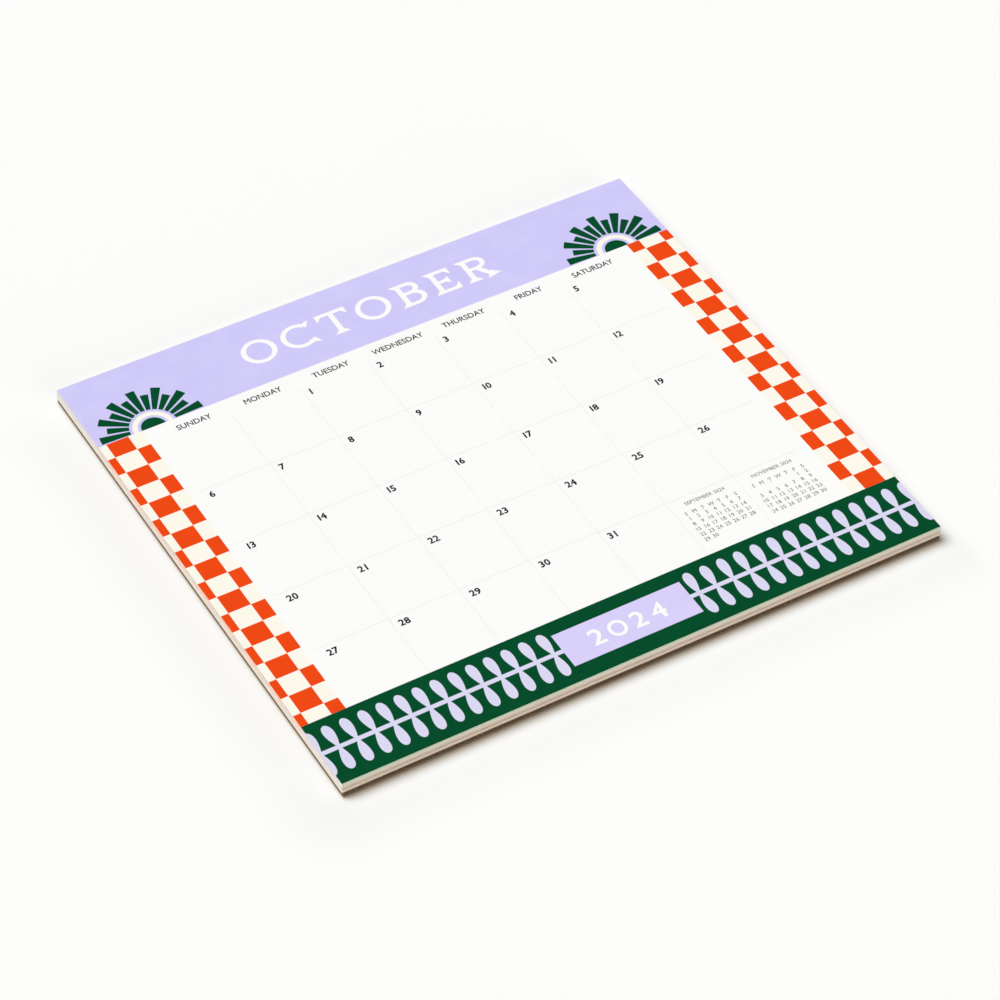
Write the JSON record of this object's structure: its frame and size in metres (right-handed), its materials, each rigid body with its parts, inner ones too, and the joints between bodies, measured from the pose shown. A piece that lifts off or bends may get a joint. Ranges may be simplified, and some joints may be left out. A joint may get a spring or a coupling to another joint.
{
  "type": "magnetic calendar pad",
  "caption": "Tear-off month calendar pad: printed sheets gummed at the head to a backing board, with a flexible magnet sheet on its back that holds it to a steel door.",
  "frame": {"origin": "centre of the pad's outline, on the surface that the magnet sheet rests on", "axes": "+X to the page's right, +Y to its gummed head edge, +Z out of the printed page"},
  "size_m": [0.254, 0.229, 0.0072],
  "materials": {
    "printed_paper": "matt uncoated paper with printed colour",
    "padding_gum": "dried milky film",
    "chipboard": "grey-brown pressed fibre",
    "magnet_rubber": "matt ferrite-filled rubber"
  },
  "bodies": {
    "root": {"page_block": "printed_paper", "gum_binding": "padding_gum", "backing_board": "chipboard", "magnet_sheet": "magnet_rubber"}
  },
  "joints": []
}
